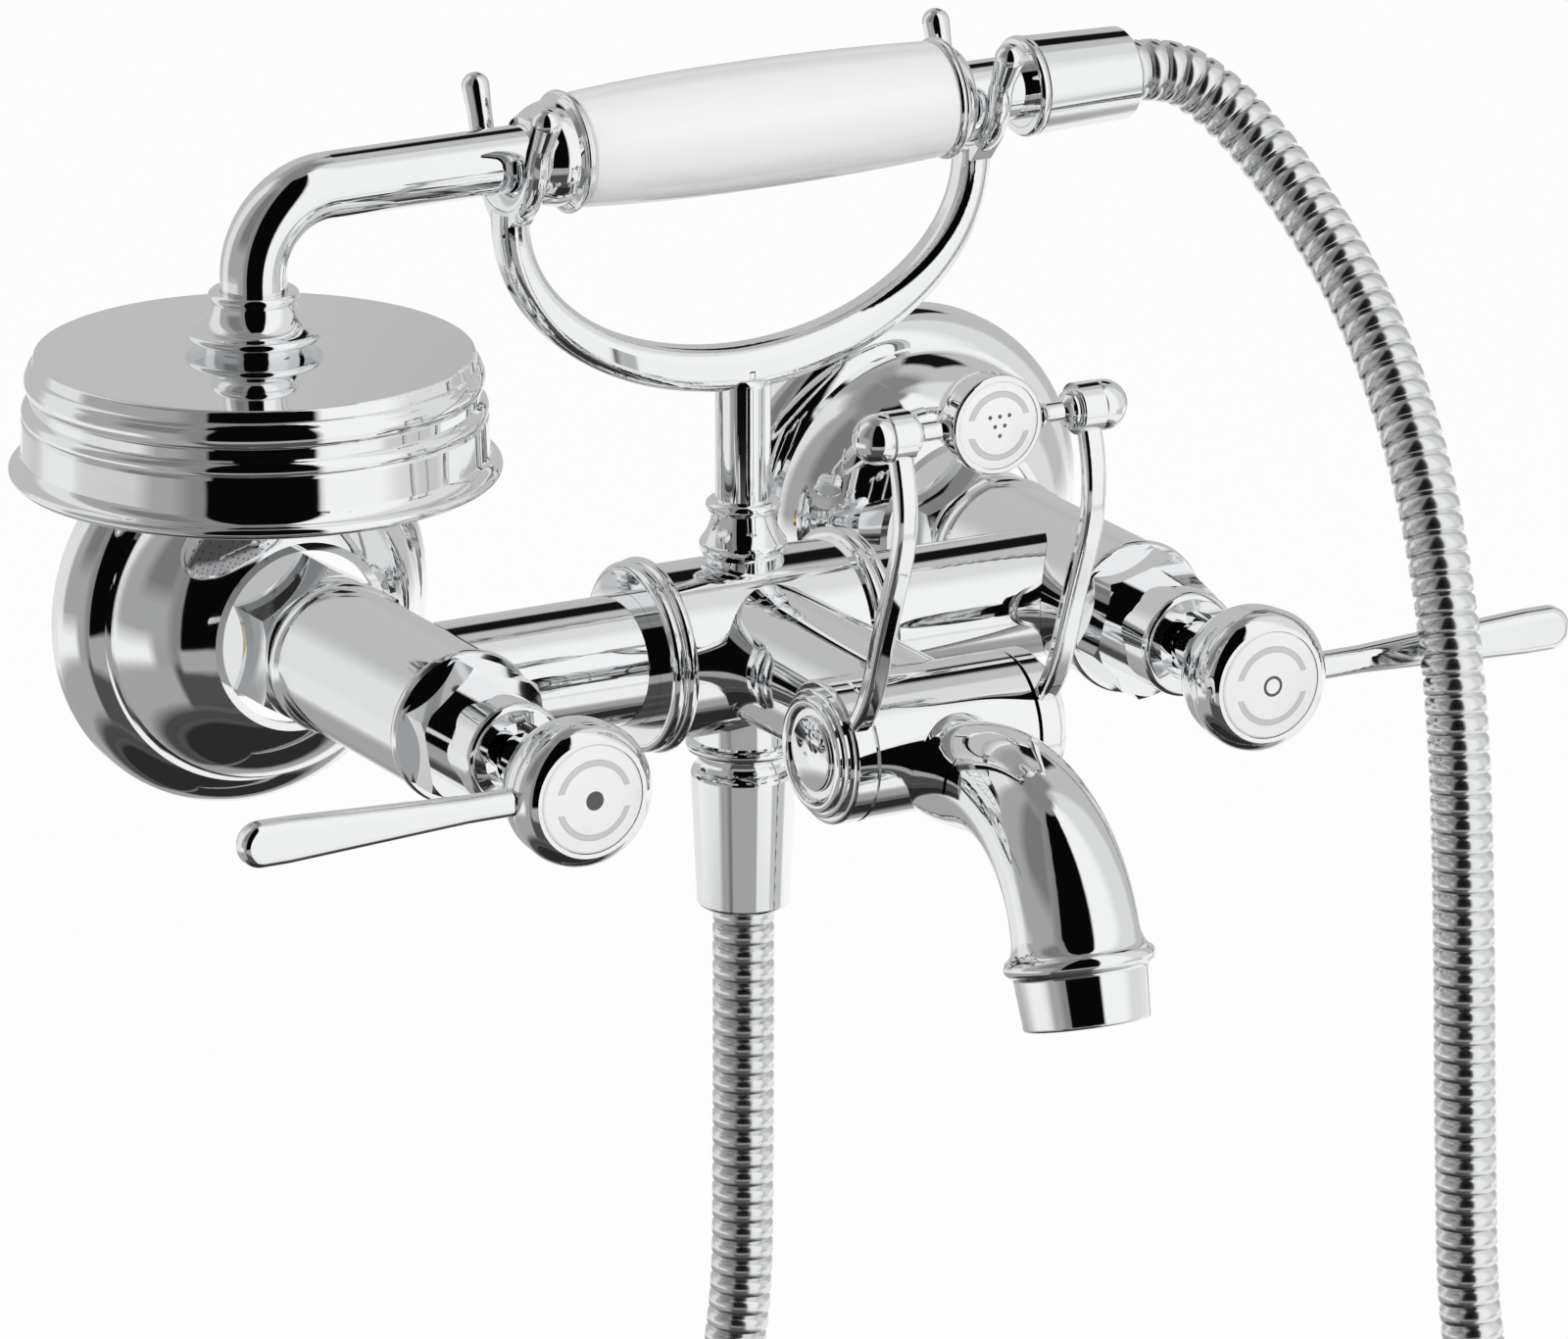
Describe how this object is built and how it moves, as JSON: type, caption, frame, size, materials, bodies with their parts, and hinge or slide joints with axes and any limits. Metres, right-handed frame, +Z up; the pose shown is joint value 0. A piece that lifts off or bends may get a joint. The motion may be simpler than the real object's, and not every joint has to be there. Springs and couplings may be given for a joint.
{
  "type": "bath mixer",
  "caption": "Wall-mounted bath mixer with lever handles, a lever diverter, a curved spout and a porcelain-grip hand shower on a cradle with a metal hose.",
  "frame": {"origin": "on the wall face, midway between the two supply threads", "axes": "+X along the wall to the right seen from the room, +Y into the wall, +Z up"},
  "size_m": [0.3202, 0.2344, 0.5708],
  "materials": {
    "chrome": "polished chrome plate on brass",
    "porcelain": "white glazed porcelain",
    "enamel": "white enamel under a clear gloss",
    "ceramic": "lapped alumina ceramic",
    "brass": "machined brass",
    "seal_rubber": "moulded black rubber",
    "valve_plastic": "moulded acetal",
    "steel": "stainless steel",
    "hose_metal": "chromed wound metal strip"
  },
  "bodies": {
    "root": {"aerator_insert": "valve_plastic", "aerator_sleeve": "chrome", "ceramic_seats": "ceramic", "check_valves": "valve_plastic", "cradle_bow": "chrome", "cradle_ferrule": "chrome", "cradle_pillar": "chrome", "cradle_prongs": "chrome", "cross_tube_left": "chrome", "cross_tube_right": "chrome", "diverter_housing": "chrome", "diverter_plug": "brass", "flat_seals": "seal_rubber", "headwork_cold": "chrome", "headwork_hot": "chrome", "hose": "hose_metal", "outlet_nipple": "chrome", "outlet_nut": "chrome", "spout": "chrome", "tee_body": "chrome", "tee_collars": "chrome", "union_nut_left": "chrome", "union_nut_right": "chrome", "valve_body_left": "chrome", "valve_body_right": "chrome", "wall_rosette_left": "chrome", "wall_rosette_right": "chrome", "wall_union_left": "brass", "wall_union_right": "brass"},
    "hot_handle": {"hot_cap": "enamel", "hot_disc": "ceramic", "hot_hub": "chrome", "hot_lever": "chrome", "hot_screw": "steel", "hot_spindle": "chrome"},
    "cold_handle": {"cold_cap": "enamel", "cold_disc": "ceramic", "cold_hub": "chrome", "cold_lever": "chrome", "cold_screw": "steel", "cold_spindle": "chrome"},
    "diverter": {"diverter_shaft": "chrome", "diverter_spool": "brass", "diverter_seals": "seal_rubber", "fork_arm_left": "chrome", "fork_arm_right": "chrome", "fork_caps": "chrome", "fork_pins": "chrome", "index_cup": "chrome", "index_disc": "enamel"},
    "handset": {"head_shell": "chrome", "spray_plate": "chrome", "spray_nozzles": "seal_rubber", "head_ferrule": "chrome", "neck_tube": "chrome", "grip_ferrule_front": "chrome", "grip": "porcelain", "grip_ferrule_rear": "chrome", "handset_tail": "chrome"},
    "hose_swivel": {"handset_nut": "chrome"}
  },
  "joints": [
    {"name": "hot_turn", "type": "hinge", "parent": "root", "child": "hot_handle", "pos_m": [-0.075, -0.143, 0.008], "axis": [0, -1, 0], "range_deg": [0, 90]},
    {"name": "cold_turn", "type": "hinge", "parent": "root", "child": "cold_handle", "pos_m": [0.075, -0.143, 0.008], "axis": [0, 1, 0], "range_deg": [0, 90]},
    {"name": "diverter_tilt", "type": "hinge", "parent": "root", "child": "diverter", "pos_m": [0, -0.145, 0.008], "axis": [1, 0, 0], "range_deg": [0, 50]},
    {"name": "handset_lift", "type": "slide", "parent": "root", "child": "handset", "axis": [0, 0, 1], "range_m": [0, 0.06]},
    {"name": "hose_nut_spin", "type": "hinge", "parent": "handset", "child": "hose_swivel", "pos_m": [0.074, -0.073, 0.1125], "axis": [1, 0, 0], "continuous": true}
  ]
}
